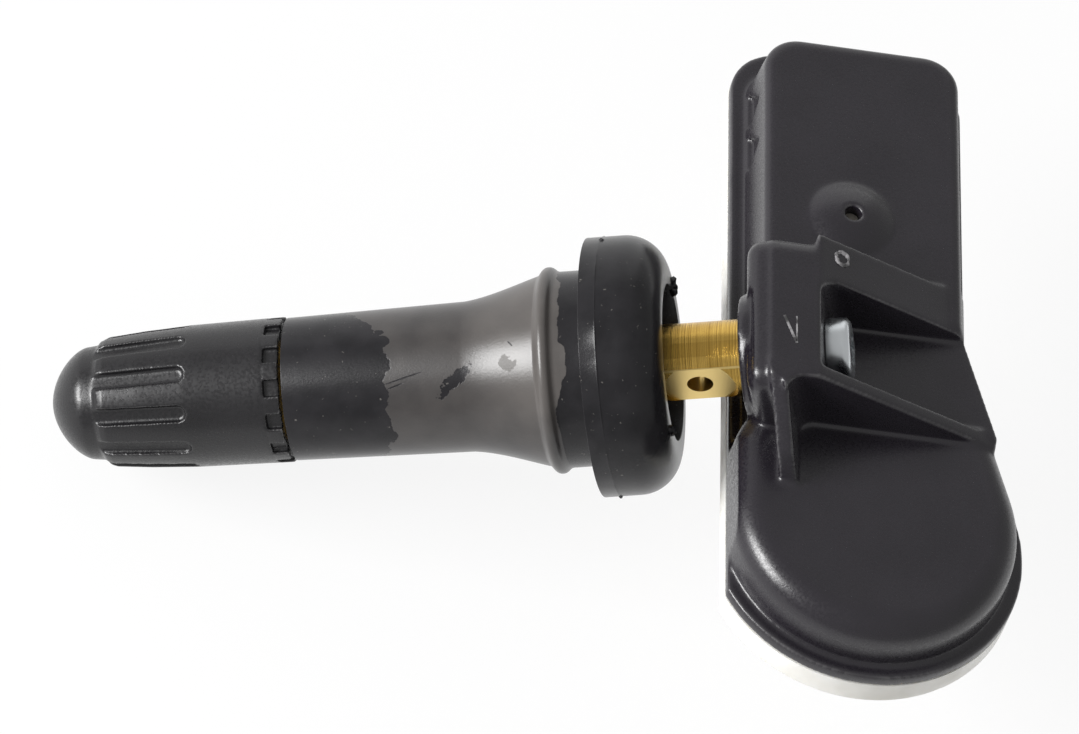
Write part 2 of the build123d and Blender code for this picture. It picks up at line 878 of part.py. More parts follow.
# Gasket round the barrel's neck, tapered to the seat in the stem
with BuildPart() as core_gasket:
    with BuildSketch(along_valve()):
        with BuildLine():
            Polyline(
                (barrel_shoulder, barrel_neck_d / 2),
                (barrel_shoulder, barrel_d / 2),
                (seat_end, barrel_d / 2),
                (seat_top, gasket_d / 2),
                (plug_end, gasket_d / 2),
                (plug_end, barrel_neck_d / 2),
                close=True,
            )
        make_face()
    revolve(axis=valve_axis)
core_gasket.part.label = "core_gasket"

# Valve pin, with a head to press and a collar for the spring
with BuildPart() as core_pin:
    with BuildSketch(along_valve()):
        with BuildLine():
            collar_top = barrel_shoulder - barrel_end_t - running_clearance
            Polyline(
                (pin_top, 0),
                (pin_top, pin_head_d / 2),
                (pin_top - pin_head_l, pin_head_d / 2),
                (pin_top - pin_head_l, pin_d / 2),
                (collar_top, pin_d / 2),
                (collar_top, barrel_bore_d / 2 - 2 * running_clearance),
                (collar_top - pin_collar_t, barrel_bore_d / 2 - 2 * running_clearance),
                (collar_top - pin_collar_t, pin_d / 2),
                (cup_top - cup_t, pin_d / 2),
                (cup_top - cup_t, 0),
                close=True,
            )
        make_face()
    revolve(axis=valve_axis)
core_pin.part.label = "core_pin"

# Rubber-faced cup on the pin, which shuts against the barrel's end
with BuildPart() as core_cup:
    with BuildSketch(across_valve(cup_top)):
        Circle(cup_d / 2)
        Circle(pin_d / 2, mode=Mode.SUBTRACT)
    extrude(amount=-cup_t)
    chamfer(core_cup.edges().sort_by(valve_axis)[0], edge_round)
core_cup.part.label = "core_cup"

# Return spring round the pin
with BuildPart() as core_spring:
    spring_foot = barrel_end + barrel_end_t + spring_wire / 2
    spring_l = collar_top - pin_collar_t - spring_foot - spring_wire / 2
    spring_r = barrel_bore_d / 2 - spring_wire / 2 - running_clearance
    spring_centre = across_valve(spring_foot).origin
    with BuildLine() as coil:
        Helix(
            spring_l / spring_turns,
            spring_l,
            spring_r,
            center=spring_centre,
            direction=valve_axis.direction,
        )
    coil_start = coil.line @ 0
    with BuildSketch(Plane(origin=coil_start, x_dir=coil_start - spring_centre, z_dir=coil.line % 0)):
        Rectangle(spring_wire, spring_wire)
    sweep(is_frenet=True)
core_spring.part.label = "core_spring"

# Seal washer in the cap, which bears on the stem's tip
with BuildPart() as cap_seal:
    with BuildSketch(across_valve(tip_reach + running_clearance)):
        Circle(cap_bore_r - running_clearance)
        Circle(seal_bore_d / 2, mode=Mode.SUBTRACT)
    extrude(amount=seal_t)
cap_seal.part.label = "cap_seal"

# Cap: fluted skirt, castellated rim and round nose, bored for the stem
with BuildPart() as valve_cap:
    with BuildSketch(along_valve()):
        with BuildLine():
            nose_r = sqrt(dome_r**2 - (cap_step - cap_tip + dome_r) ** 2)
            nose = RadiusArc((cap_step, nose_r), (cap_tip, 0), dome_r)
            Polyline(
                nose @ 1,
                (cap_tip - cap_roof, 0),
                (cap_tip - cap_roof, cap_core_d / 2),
                (cap_bore_end, cap_core_d / 2),
                (cap_bore_end, cap_bore_r),
                (cap_rim, cap_bore_r),
                (cap_rim, cap_rim_d / 2),
                (cap_waist, cap_waist_d / 2),
                (cap_taper, cap_taper_d / 2),
                (cap_shoulder, cap_shoulder_d / 2),
                nose @ 0,
            )
        make_face()
    revolve(axis=valve_axis)
    with BuildSketch(across_valve(cap_rim)):
        with PolarLocations(cap_rim_d / 2, castle_count, start_angle=castle_turn):
            Rectangle(2 * castle_depth, castle_w)
    extrude(amount=castle_l, mode=Mode.SUBTRACT)
    for index in range(flute_count):
        with BuildSketch(flute_plane(flute_turn + index * 360 / flute_count)):
            with Locations((cap_tip - flute_end, 0)):
                SlotOverall(2 * (cap_tip - flute_end), flute_w)
        extrude(amount=cap_rim_d / 2 - flute_floor_end, mode=Mode.SUBTRACT)
valve_cap.part.label = "valve_cap"

export_step(housing.part, "parts/housing.step")
export_step(base_cover.part, "parts/base_cover.step")
export_step(circuit_board.part, "parts/circuit_board.step")
export_step(battery_cell.part, "parts/battery_cell.step")
export_step(positive_tab.part, "parts/positive_tab.step")
export_step(negative_tab.part, "parts/negative_tab.step")
export_step(sensor_chip.part, "parts/sensor_chip.step")
export_step(port_seal.part, "parts/port_seal.step")
export_step(crystal.part, "parts/crystal.step")
export_step(lf_coil.part, "parts/lf_coil.step")
export_step(antenna_loop.part, "parts/antenna_loop.step")
export_step(chip_parts.part, "parts/chip_parts.step")
export_step(brass_stem.part, "parts/brass_stem.step")
export_step(sensor_screw.part, "parts/sensor_screw.step")
export_step(rubber_body.part, "parts/rubber_body.step")
export_step(core_plug.part, "parts/core_plug.step")
export_step(core_barrel.part, "parts/core_barrel.step")
export_step(core_gasket.part, "parts/core_gasket.step")
export_step(core_pin.part, "parts/core_pin.step")
export_step(core_cup.part, "parts/core_cup.step")
export_step(core_spring.part, "parts/core_spring.step")
export_step(valve_cap.part, "parts/valve_cap.step")
export_step(cap_seal.part, "parts/cap_seal.step")
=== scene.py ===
from math import atan2, cos, pi, radians, sin

import bmesh
import bpy
import numpy as np
from mathutils import Matrix, Vector, noise
from mathutils.geometry import interpolate_bezier


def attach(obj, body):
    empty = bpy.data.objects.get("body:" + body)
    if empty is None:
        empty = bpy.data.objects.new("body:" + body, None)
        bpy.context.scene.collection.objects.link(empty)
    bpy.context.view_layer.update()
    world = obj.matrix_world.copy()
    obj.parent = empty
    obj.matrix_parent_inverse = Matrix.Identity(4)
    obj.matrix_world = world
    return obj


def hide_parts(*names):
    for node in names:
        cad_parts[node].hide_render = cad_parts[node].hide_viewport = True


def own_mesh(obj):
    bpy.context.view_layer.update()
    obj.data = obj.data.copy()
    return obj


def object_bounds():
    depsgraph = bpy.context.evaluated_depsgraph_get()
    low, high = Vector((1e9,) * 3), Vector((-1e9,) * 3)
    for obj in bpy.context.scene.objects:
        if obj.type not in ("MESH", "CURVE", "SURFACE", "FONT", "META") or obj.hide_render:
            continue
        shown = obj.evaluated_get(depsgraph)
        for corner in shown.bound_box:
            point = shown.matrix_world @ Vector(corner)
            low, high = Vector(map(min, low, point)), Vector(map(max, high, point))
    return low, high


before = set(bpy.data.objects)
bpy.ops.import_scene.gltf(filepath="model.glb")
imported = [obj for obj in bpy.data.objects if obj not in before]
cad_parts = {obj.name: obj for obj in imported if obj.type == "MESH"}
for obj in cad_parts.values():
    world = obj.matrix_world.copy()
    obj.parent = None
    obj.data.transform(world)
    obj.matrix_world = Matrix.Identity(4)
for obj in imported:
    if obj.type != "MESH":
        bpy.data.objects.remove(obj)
cad_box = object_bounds()

# Base cover: the shallow tray that closes the sensor from below. It is injection moulded in natural
# white plastic, a little translucent, and welded to the flange of the housing all the way round.
MM = 0.001
COVER_WHITE = (0.81, 0.80, 0.765, 1.0)
COVER_CREAM = (0.68, 0.665, 0.62, 1.0)
COVER_CREASE = radians(30)


def add_node(tree, kind, inputs, **settings):
    """A new node, set up and fed with plain values or with the outputs of other nodes."""
    node = tree.nodes.new(kind)
    for name, value in settings.items():
        setattr(node, name, value)
    for name, value in inputs.items():
        if isinstance(value, bpy.types.NodeSocket):
            tree.links.new(value, node.inputs[name])
        else:
            node.inputs[name].default_value = value
    return node


def new_finish(name):
    """A new material: its node tree, its shader, and the place on the piece that its patterns read."""
    material = bpy.data.materials.new(name)
    material.use_nodes = True
    tree = material.node_tree
    place = add_node(tree, "ShaderNodeTexCoord", {}).outputs["Object"]
    return material, tree, tree.nodes["Principled BSDF"], place


def speckle(tree, place, grain, detail=3.0):
    """Noise whose spots are about one grain, in millimetres, across."""
    settings = {"Vector": place, "Scale": 1.0 / (grain * MM), "Detail": detail}
    return add_node(tree, "ShaderNodeTexNoise", settings).outputs["Fac"]


def spread(tree, value, low, high, to_low=0.0, to_high=1.0):
    """The value carried smoothly from the range low to high to a new range."""
    ends = {"Value": value, "From Min": low, "From Max": high, "To Min": to_low, "To Max": to_high}
    return add_node(tree, "ShaderNodeMapRange", ends, interpolation_type="SMOOTHSTEP").outputs["Result"]


def sums(tree, operation, first, second):
    """Two numbers taken together by one sum."""
    return add_node(tree, "ShaderNodeMath", {0: first, 1: second}, operation=operation).outputs["Value"]


def tint(tree, share, first, second):
    """A colour that goes from the first to the second as the share rises."""
    mixed = add_node(tree, "ShaderNodeMix", {0: share, 6: first, 7: second}, data_type="RGBA")
    return mixed.outputs[2]


def raise_bumps(tree, shader, height, depth):
    """Fine relief on the surface, of a depth in millimetres."""
    bump = add_node(tree, "ShaderNodeBump", {"Height": height, "Distance": depth * MM, "Strength": 1.0})
    tree.links.new(bump.outputs["Normal"], shader.inputs["Normal"])


def merged_copy(node, name):
    """A new piece with the shape of a solid, its loose facets merged."""
    bm = bmesh.new()
    bm.from_mesh(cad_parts[node].data)
    bmesh.ops.remove_doubles(bm, verts=bm.verts, dist=0.002 * MM)
    return shown(bm, name)


def shown(bm, name):
    """A piece in the scene made from a finished bmesh."""
    mesh = bpy.data.meshes.new(name)
    bm.to_mesh(mesh)
    bm.free()
    piece = bpy.data.objects.new(name, mesh)
    bpy.context.scene.collection.objects.link(piece)
    return piece


def settle(piece, material, body, crease):
    """Give a piece its finish, smooth its faces up to a crease angle, and let it ride on its body."""
    piece.data.materials.clear()
    piece.data.materials.append(material)
    piece.data.polygons.foreach_set("use_smooth", [True] * len(piece.data.polygons))
    piece.data.set_sharp_from_angle(angle=crease)
    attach(piece, body)


cover_finish, tree, shader, place = new_finish("natural_white_moulding")
mottle = spread(tree, speckle(tree, place, 5.0), 0.35, 0.7)
tree.links.new(tint(tree, mottle, COVER_WHITE, COVER_CREAM), shader.inputs["Base Color"])
tree.links.new(spread(tree, mottle, 0.0, 1.0, 0.36, 0.5), shader.inputs["Roughness"])
raise_bumps(tree, shader, speckle(tree, place, 0.25), 0.006)
shader.inputs["Subsurface Weight"].default_value = 0.35
shader.inputs["Subsurface Radius"].default_value = (1.0, 0.95, 0.85)
shader.inputs["Subsurface Scale"].default_value = 1.2 * MM
base_cover = merged_copy("base_cover", "welded_base_cover")
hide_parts("base_cover")
settle(base_cover, cover_finish, "sensor", COVER_CREASE)

# Electronics: a glass-laminate board with the sensor chip, its soft seal to the port, a crystal, a
# wake-up coil, chip parts and a bent aerial, fed by a tabbed coin cell. All of it is sealed in.
INNER_FINISHES = {
    "circuit_board": ((0.03, 0.17, 0.07, 1.0), (0.05, 0.24, 0.11, 1.0), 0.0, 0.35, 1.5),
    "battery_cell": ((0.62, 0.62, 0.61, 1.0), (0.72, 0.72, 0.70, 1.0), 1.0, 0.28, 0.6),
    "positive_tab": ((0.58, 0.57, 0.53, 1.0), (0.68, 0.66, 0.62, 1.0), 1.0, 0.32, 0.5),
    "negative_tab": ((0.58, 0.57, 0.53, 1.0), (0.68, 0.66, 0.62, 1.0), 1.0, 0.32, 0.5),
    "sensor_chip": ((0.02, 0.02, 0.021, 1.0), (0.04, 0.04, 0.042, 1.0), 0.0, 0.55, 0.3),
    # The port seal's tones are darkened as painted shade, for the seal seen deep inside the port hole.
    "port_seal": ((0.16, 0.145, 0.125, 1.0), (0.24, 0.22, 0.19, 1.0), 0.0, 0.6, 0.4),
    "crystal": ((0.66, 0.65, 0.61, 1.0), (0.76, 0.75, 0.71, 1.0), 1.0, 0.22, 0.4),
    "lf_coil": ((0.06, 0.05, 0.05, 1.0), (0.12, 0.10, 0.09, 1.0), 0.0, 0.5, 0.3),
    "antenna_loop": ((0.70, 0.68, 0.63, 1.0), (0.80, 0.78, 0.74, 1.0), 1.0, 0.25, 0.4),
    "chip_parts": ((0.40, 0.33, 0.25, 1.0), (0.56, 0.48, 0.38, 1.0), 0.0, 0.45, 0.3),
}


def mottled_finish(name, dark, light, metal, roughness, grain):
    """A plain finish, mottled between two tones at one grain, with a little relief."""
    material, tree, shader, place = new_finish(name)
    mottle = spread(tree, speckle(tree, place, grain), 0.35, 0.65)
    tree.links.new(tint(tree, mottle, dark, light), shader.inputs["Base Color"])
    duller = spread(tree, mottle, 0.0, 1.0, roughness, roughness + 0.1)
    tree.links.new(duller, shader.inputs["Roughness"])
    shader.inputs["Metallic"].default_value = metal
    raise_bumps(tree, shader, speckle(tree, place, grain / 3), 0.004)
    return material


def dress(node, material):
    """Give a solid that stays in view its finish."""
    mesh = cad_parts[node].data
    mesh.materials.clear()
    mesh.materials.append(material)


for node, values in INNER_FINISHES.items():
    dress(node, mottled_finish(node + "_finish", *values))

# Housing: one dark, finely grained moulding with a lobe over the cell, a box over the board, and the
# ribbed bracket that the valve screws to, with a shallow groove behind its boss. Its edges are soft
# from the mould and paler, partly from wear where handled and partly as a painted highlight.
HOUSING_VOXEL = 0.17 * MM
HOUSING_SMOOTHING = 12
HOUSING_KEPT_SHARE = 0.42
HOUSING_CREASE = radians(60)
HOUSING_SHARPEST = 0.32
EDGE_MARK_SPREAD = 3
HOUSING_DARK = (0.0088, 0.0068, 0.0108, 1.0)
HOUSING_TONE = (0.0132, 0.0108, 0.0156, 1.0)
HOUSING_WORN_AND_HIGHLIGHT = (0.100, 0.097, 0.100, 1.0)
LEAN = radians(20)
ALONG = Vector((-cos(LEAN), 0.0, -sin(LEAN)))
ACROSS = Vector((0.0, -1.0, 0.0))
RISE = Vector((-sin(LEAN), 0.0, cos(LEAN)))
VALVE = Matrix((ACROSS, RISE, ALONG)).transposed().to_4x4() @ Matrix.Scale(MM, 4)
GROOVE_PLACE = (1.85, 6.1, -12.38)
GROOVE_SIZE = (8.9, 3.0, 0.55)


def baked(piece):
    """Apply a piece's modifiers to its mesh."""
    graph = bpy.context.evaluated_depsgraph_get()
    mesh = bpy.data.meshes.new_from_object(piece.evaluated_get(graph))
    piece.modifiers.clear()
    piece.data = mesh


def on_valve(bm, name):
    """Move a bmesh from the valve's own millimetre frame to its place, as a piece."""
    bmesh.ops.transform(bm, matrix=VALVE, verts=bm.verts)
    return shown(bm, name)


def cut(piece, tools):
    """Cut a piece with tool pieces and take the tools away."""
    for tool in tools:
        boolean = piece.modifiers.new("cut", "BOOLEAN")
        boolean.operation = "DIFFERENCE"
        boolean.solver = "EXACT"
        boolean.object = tool
    baked(piece)
    for tool in tools:
        bpy.data.objects.remove(tool)


def soften(piece, voxel, smoothing):
    """Round a piece's edges by remeshing it finely and relaxing the new surface."""
    remesh = piece.modifiers.new("fine_skin", "REMESH")
    remesh.mode = "VOXEL"
    remesh.voxel_size = voxel
    relax = piece.modifiers.new("soft_edges", "SMOOTH")
    relax.factor = 0.5
    relax.iterations = smoothing
    baked(piece)


def mark_edge_sharpness(piece, sharpest):
    """Keep on each vertex how sharp an outer edge it lies on, for the wear and painted edge highlight.
    """
    bm = bmesh.new()
    bm.from_mesh(piece.data)
    turns = np.array([edge.calc_face_angle_signed(0.0) for edge in bm.edges])
    ends = np.array([[vert.index for vert in edge.verts] for edge in bm.edges])
    bm.free()
    count = len(piece.data.vertices)
    spokes = np.bincount(ends.ravel(), minlength=count)
    wear_and_highlight = np.bincount(ends.ravel(), np.repeat(turns, 2), count) / spokes / sharpest
    wear_and_highlight = wear_and_highlight.clip(0.0, 1.0)
    for _ in range(EDGE_MARK_SPREAD):
        near = np.bincount(ends.ravel(), wear_and_highlight[ends[:, ::-1]].ravel(), count) / spokes
        wear_and_highlight = 0.5 * (wear_and_highlight + near)
    piece.data.attributes.new("wear_and_highlight", "FLOAT", "POINT").data.foreach_set("value", wear_and_highlight)


def thin_out(piece, share):
    """Take flat stretches down to fewer facets."""
    decimate = piece.modifiers.new("fewer_facets", "DECIMATE")
    decimate.ratio = share
    baked(piece)


def moulded_finish(name, dark, light, worn_and_highlight_tone, grain, roughness, gloss, dusting):
    """Dark moulded plastic with a fine grain, soft blotches, and paler edges: wear and painted
    highlight.
    """
    material, tree, shader, place = new_finish(name)
    blotches = spread(tree, speckle(tree, place, 7.0), 0.3, 0.7)
    fine = speckle(tree, place, grain, 2.0)
    edge = add_node(tree, "ShaderNodeAttribute", {}, attribute_name="wear_and_highlight").outputs["Fac"]
    patches = spread(tree, speckle(tree, place, 3.0), 0.3, 0.7, 0.4, 1.0)
    # Paler edges: wear in patches, and a painted highlight along the sharper outer edges.
    rubbed_and_highlighted = sums(tree, "MULTIPLY", spread(tree, edge, 0.4, 0.95), patches)
    body_tone = tint(tree, blotches, dark, light)
    tree.links.new(tint(tree, rubbed_and_highlighted, body_tone, worn_and_highlight_tone), shader.inputs["Base Color"])
    grainy = spread(tree, fine, 0.3, 0.7, roughness - 0.05, roughness + 0.08)
    tree.links.new(grainy, shader.inputs["Roughness"])
    shader.inputs["Specular IOR Level"].default_value = gloss
    shader.inputs["Sheen Weight"].default_value = dusting
    shader.inputs["Sheen Roughness"].default_value = 0.35
    raise_bumps(tree, shader, fine, 0.008)
    return material


housing_finish = moulded_finish(
    "grained_dark_moulding", HOUSING_DARK, HOUSING_TONE, HOUSING_WORN_AND_HIGHLIGHT, 0.2, 0.3, 0.62, 0.08
)
housing = merged_copy("housing", "moulded_housing")
groove_bm = bmesh.new()
bmesh.ops.create_cube(
    groove_bm, size=1.0,
    matrix=Matrix.Translation(GROOVE_PLACE) @ Matrix.Diagonal((*GROOVE_SIZE, 1)),
)
cut(housing, [on_valve(groove_bm, "groove_tool")])
soften(housing, HOUSING_VOXEL, HOUSING_SMOOTHING)
mark_edge_sharpness(housing, HOUSING_SHARPEST)
thin_out(housing, HOUSING_KEPT_SHARE)
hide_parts("housing")
settle(housing, housing_finish, "sensor", HOUSING_CREASE)

# Mould marks on the bracket: the torn ring that the gate left on the thick rib, and two fine raised
# strokes that stand for the valve's angle on top of the wall. They are part of the moulding, and the
# fixed seed tears the ring, and the rubber further on, in the same way at every run.
WALL_TOP = 10.049
GATE_PLACE = (17.07, 6.45, 9.24)
GATE_SLOPE = radians(23.3)
GATE_R = 0.58
GATE_BEAD_R = 0.15
GATE_TEAR = 0.12
TEAR_SCALE = 4.0
TEAR_SEED = 1
STROKES = (((12.41, -0.04), (13.37, -2.46), 0.2), ((13.37, 0.0), (13.37, -2.28), 0.12))
STROKE_T = 0.1
STROKE_PROUD = 0.03
marks_bm = bmesh.new()
bmesh.ops.create_circle(
    marks_bm, segments=12, radius=GATE_BEAD_R,
    matrix=Matrix.Translation((GATE_R, 0, 0)) @ Matrix.Rotation(pi / 2, 4, "X"),
)
bmesh.ops.spin(
    marks_bm, geom=list(marks_bm.verts) + list(marks_bm.edges), cent=(0, 0, 0), axis=(0, 0, 1),
    angle=2 * pi, steps=40, use_merge=True,
)
bmesh.ops.remove_doubles(marks_bm, verts=marks_bm.verts, dist=0.0005)
noise.seed_set(TEAR_SEED)
for vert in marks_bm.verts:
    vert.co += GATE_TEAR * noise.noise_vector(vert.co * TEAR_SCALE)
bmesh.ops.transform(
    marks_bm, verts=marks_bm.verts,
    matrix=Matrix.Translation(GATE_PLACE) @ Matrix.Rotation(GATE_SLOPE, 4, "Y"),
)
for start, end, width in STROKES:
    run = Vector(end) - Vector(start)
    middle = (Vector(end) + Vector(start)) / 2
    bmesh.ops.create_cube(marks_bm, size=1.0, matrix=(
        Matrix.Translation((*middle, WALL_TOP + STROKE_PROUD - STROKE_T / 2))
        @ Matrix.Rotation(atan2(run.y, run.x), 4, "Z")
        @ Matrix.Diagonal((run.length, width, STROKE_T, 1))
    ))
bmesh.ops.transform(marks_bm, verts=marks_bm.verts, matrix=Matrix.Scale(MM, 4))
bmesh.ops.recalc_face_normals(marks_bm, faces=marks_bm.faces)
marks = shown(marks_bm, "mould_marks")
marks_finish = mottled_finish(
    "scuffed_marks", (0.05, 0.049, 0.05, 1.0), (0.36, 0.35, 0.36, 1.0), 0.0, 0.35, 0.6
)
settle(marks, marks_finish, "sensor", HOUSING_CREASE)

# Valve core: the standard spring-loaded air valve, screwed into the stem's tip under the cap. Turned
# brass plug, barrel and pin, a resin gasket, a rubber-faced cup, and a steel return spring, which in
# the real valve shortens towards its foot as the pin is pressed in.
CORE_FINISHES = {
    "core_plug": ((0.62, 0.45, 0.19, 1.0), (0.74, 0.57, 0.27, 1.0), 1.0, 0.26, 0.5),
    "core_barrel": ((0.62, 0.45, 0.19, 1.0), (0.74, 0.57, 0.27, 1.0), 1.0, 0.30, 0.5),
    "core_pin": ((0.64, 0.48, 0.22, 1.0), (0.76, 0.60, 0.30, 1.0), 1.0, 0.22, 0.4),
    "core_gasket": ((0.52, 0.10, 0.07, 1.0), (0.64, 0.16, 0.11, 1.0), 0.0, 0.5, 0.5),
    "core_cup": ((0.015, 0.015, 0.016, 1.0), (0.03, 0.03, 0.031, 1.0), 0.0, 0.7, 0.4),
    "core_spring": ((0.48, 0.48, 0.48, 1.0), (0.60, 0.60, 0.59, 1.0), 1.0, 0.3, 0.4),
}
SPRING_CREASE = radians(35)
for node, values in CORE_FINISHES.items():
    dress(node, mottled_finish(node + "_finish", *values))
spring = merged_copy("core_spring", "return_spring")
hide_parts("core_spring")
settle(spring, bpy.data.materials["core_spring_finish"], "sensor", SPRING_CREASE)
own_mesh(spring)

# Brass stem: turned from bar, with a thread and the air bore at the tip, and a stub at the root with
# two milled spanner flats and a cross hole for the air. The rubber is moulded round its shank.
TURNED_STEPS = 144
STEM_CREASE = radians(35)
STUB_R = 2.925
STUB_END = -14.6
RECESS_FLOOR = -3.7
SHANK_R = 3.5
SLEEVE_END = 23.5
TIP = 36.5
THREAD_ROOT_R = 3.42
THREAD_CREST_R = 3.83
THREAD_PITCH = 0.794
THREAD_TURNS = 14
THREAD_STEPS = 48
THREAD_START = SLEEVE_END + 1.2
HALF_CREST = 0.06
HALF_ROOT = 0.36
AIR_BORE_R = 1.2
CORE_BORE_R = 2.1
CORE_THREAD_R = 2.63
TAPPED_R = 1.52
TAPPED_END = -10.6
FLAT_REACH = 2.2
FLAT_MIDDLE = -8.0
FLAT_L = 5.8
FLAT_W = 4.2
CROSS_HOLE_R = 1.0
AIR_BORE_END = FLAT_MIDDLE - CROSS_HOLE_R - 0.4
BRASS_DARK = (0.28, 0.148, 0.020, 1.0)
BRASS_LIGHT = (0.90, 0.60, 0.155, 1.0)
BRASS_MILLED = (0.82, 0.62, 0.25, 1.0)


def turned(profile):
    """A bmesh turned about the valve axis from points of reach and radius in millimetres."""
    bm = bmesh.new()
    verts = [bm.verts.new((radius, 0.0, reach)) for reach, radius in profile]
    edges = [bm.edges.new(pair) for pair in zip(verts, verts[1:])]
    bmesh.ops.spin(
        bm, geom=verts + edges, cent=(0, 0, 0), axis=(0, 0, 1),
        angle=2 * pi, steps=TURNED_STEPS, use_merge=True,
    )
    bmesh.ops.remove_doubles(bm, verts=bm.verts, dist=0.0005)
    bmesh.ops.recalc_face_normals(bm, faces=bm.faces)
    return bm


def round_rims(bm, width, segments, sharpest=radians(25)):
    """Round every edge that turns by more than the sharpest angle."""
    rims = [edge for edge in bm.edges if edge.calc_face_angle(0.0) > sharpest]
    bmesh.ops.bevel(
        bm, geom=rims, offset=width, offset_type="OFFSET", segments=segments,
        profile=0.5, affect="EDGES", material=-1, clamp_overlap=True,
    )


def distance_along(tree, place, way):
    """How far a place lies from the valve's seat along one way, in millimetres."""
    dot = add_node(tree, "ShaderNodeVectorMath", {0: place, 1: way / MM}, operation="DOT_PRODUCT")
    return dot.outputs["Value"]


stem_bm = turned([
    (STUB_END, 0.0), (STUB_END, STUB_R - 0.3), (STUB_END + 0.3, STUB_R), (RECESS_FLOOR, STUB_R),
    (RECESS_FLOOR, SHANK_R), (SLEEVE_END, SHANK_R), (SLEEVE_END, THREAD_CREST_R),
    (SLEEVE_END + 0.8, THREAD_CREST_R), (THREAD_START, THREAD_ROOT_R), (TIP - 0.5, THREAD_ROOT_R),
    (TIP, THREAD_ROOT_R - 0.5), (TIP, 0.0),
])
stem = on_valve(stem_bm, "turned_brass_stem")
stem_tools = [
    on_valve(turned([
        (TIP + 1, 0.0), (TIP + 1, CORE_THREAD_R), (TIP - 6.6, CORE_THREAD_R), (TIP - 7.6, CORE_BORE_R),
        (TIP - 19, CORE_BORE_R), (TIP - 20, AIR_BORE_R), (AIR_BORE_END, AIR_BORE_R), (AIR_BORE_END, 0.0),
    ]), "air_bore"),
    on_valve(turned([
        (STUB_END - 1, 0.0), (STUB_END - 1, TAPPED_R), (TAPPED_END, TAPPED_R), (TAPPED_END, 0.0),
    ]), "tapped_hole"),
]
cross_bm = bmesh.new()
bmesh.ops.create_cone(
    cross_bm, cap_ends=True, segments=64, radius1=CROSS_HOLE_R, radius2=CROSS_HOLE_R, depth=4 * STUB_R,
    matrix=Matrix.Translation((0, 0, FLAT_MIDDLE)) @ Matrix.Rotation(pi / 2, 4, "Y"),
)
stem_tools.append(on_valve(cross_bm, "cross_hole"))
for side in (1, -1):
    flat_bm = bmesh.new()
    bmesh.ops.create_cube(
        flat_bm, size=1.0,
        matrix=Matrix.Translation((side * (FLAT_REACH + STUB_R / 2), 0, FLAT_MIDDLE))
        @ Matrix.Diagonal((STUB_R, FLAT_W, FLAT_L, 1)),
    )
    corners = [edge for edge in flat_bm.edges if abs(edge.verts[0].co.x - edge.verts[1].co.x) > 1]
    bmesh.ops.bevel(
        flat_bm, geom=corners, offset=0.49 * FLAT_W, offset_type="OFFSET", segments=16,
        profile=0.5, affect="EDGES", material=-1,
    )
    stem_tools.append(on_valve(flat_bm, "spanner_flat"))
cut(stem, stem_tools)
thread_bm = bmesh.new()
thread_section = thread_bm.faces.new([
    thread_bm.verts.new((radius, 0.0, THREAD_START + rise)) for radius, rise in (
        (THREAD_ROOT_R - 0.1, -HALF_ROOT), (THREAD_CREST_R, -HALF_CREST),
        (THREAD_CREST_R, HALF_CREST), (THREAD_ROOT_R - 0.1, HALF_ROOT),
    )
])
bmesh.ops.spin(
    thread_bm, geom=[thread_section] + list(thread_section.edges) + list(thread_section.verts),
    cent=(0, 0, 0), axis=(0, 0, 1), dvec=(0, 0, THREAD_PITCH / THREAD_STEPS),
    angle=2 * pi * THREAD_TURNS, steps=THREAD_STEPS * THREAD_TURNS,
)
bmesh.ops.recalc_face_normals(thread_bm, faces=thread_bm.faces)
thread = on_valve(thread_bm, "stem_thread")

brass_finish, tree, shader, place = new_finish("turned_brass")
reach = distance_along(tree, place, ALONG)
rise = distance_along(tree, place, RISE)
front = distance_along(tree, place, ACROSS)
ring_place = add_node(tree, "ShaderNodeCombineXYZ", {"X": reach}).outputs["Vector"]
tool_rings = add_node(
    tree, "ShaderNodeTexNoise", {"Vector": ring_place, "Scale": 9.0, "Detail": 4.0, "Roughness": 0.7},
).outputs["Fac"]
tarnish = spread(tree, speckle(tree, place, 1.6), 0.3, 0.75)
# Painted reflection: a dark band along the stub's near side, taken together with the real tarnish.
painted_dark_reflection = sums(tree, "MULTIPLY", spread(tree, front, 0.25, 0.4), spread(tree, front, 1.55, 1.4))
tarnish_and_painted_reflection = sums(
    tree, "MAXIMUM", sums(tree, "MULTIPLY", tarnish, 0.35), sums(tree, "MULTIPLY", painted_dark_reflection, 0.45),
)
ring_tone = tint(tree, spread(tree, tool_rings, 0.32, 0.62), BRASS_DARK, BRASS_LIGHT)
bar_tone = tint(tree, tarnish_and_painted_reflection, ring_tone, BRASS_DARK)
off_side = add_node(tree, "ShaderNodeMath", {0: front}, operation="ABSOLUTE").outputs["Value"]
off_height = add_node(tree, "ShaderNodeMath", {0: rise}, operation="ABSOLUTE").outputs["Value"]
milled = sums(
    tree, "MULTIPLY", spread(tree, off_side, FLAT_REACH + 0.08, FLAT_REACH + 0.04),
    spread(tree, off_height, 2.0, 1.96),
)
tree.links.new(tint(tree, milled, bar_tone, BRASS_MILLED), shader.inputs["Base Color"])
tree.links.new(spread(tree, milled, 0.0, 1.0, 0.24, 0.36), shader.inputs["Roughness"])
shader.inputs["Metallic"].default_value = 1.0
raise_bumps(tree, shader, tint(tree, milled, tool_rings, (0.5, 0.5, 0.5, 1.0)), 0.02)
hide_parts("brass_stem")
settle(stem, brass_finish, "sensor", STEM_CREASE)
settle(thread, brass_finish, "sensor", STEM_CREASE)

